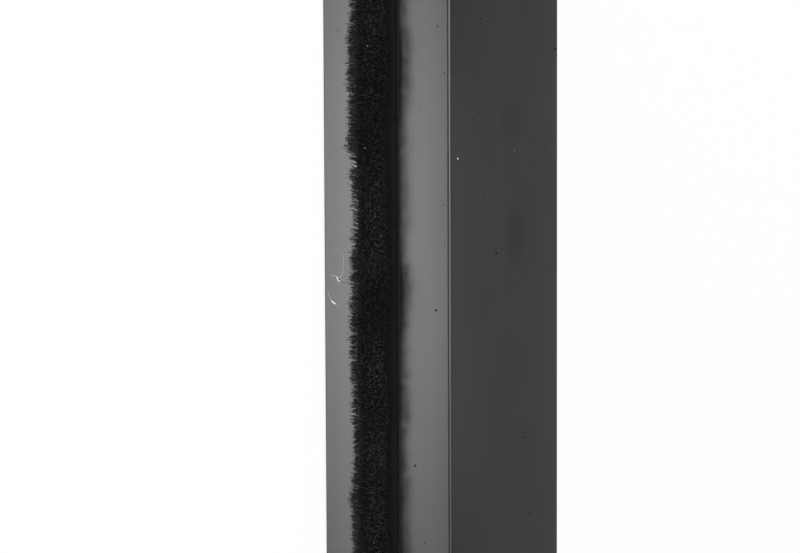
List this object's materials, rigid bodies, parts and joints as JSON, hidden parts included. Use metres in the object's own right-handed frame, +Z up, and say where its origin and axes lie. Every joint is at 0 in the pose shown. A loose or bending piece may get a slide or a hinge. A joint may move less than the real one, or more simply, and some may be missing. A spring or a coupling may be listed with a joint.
{
  "type": "brush seal strip",
  "caption": "Black aluminium angle with a T-slot in one leg that holds a woven pile seal; the other leg is plain, for fixing to a door, window or frame edge.",
  "frame": {"origin": "middle of the strip's length, under the ridge, on the floor that its two leg tips rest on", "axes": "+Y along the strip, +Z up through the angle's ridge, the leg with the pile seal falls towards -X"},
  "size_m": [0.028, 1, 0.015],
  "materials": {
    "black_anodised_aluminium": "satin black anodised",
    "woven_backing": "matt woven polypropylene",
    "black_pile_fibre": "matt fibre pile"
  },
  "bodies": {
    "root": {"angle_carrier": "black_anodised_aluminium", "pile_backing": "woven_backing", "brush_pile": "black_pile_fibre"}
  },
  "joints": []
}
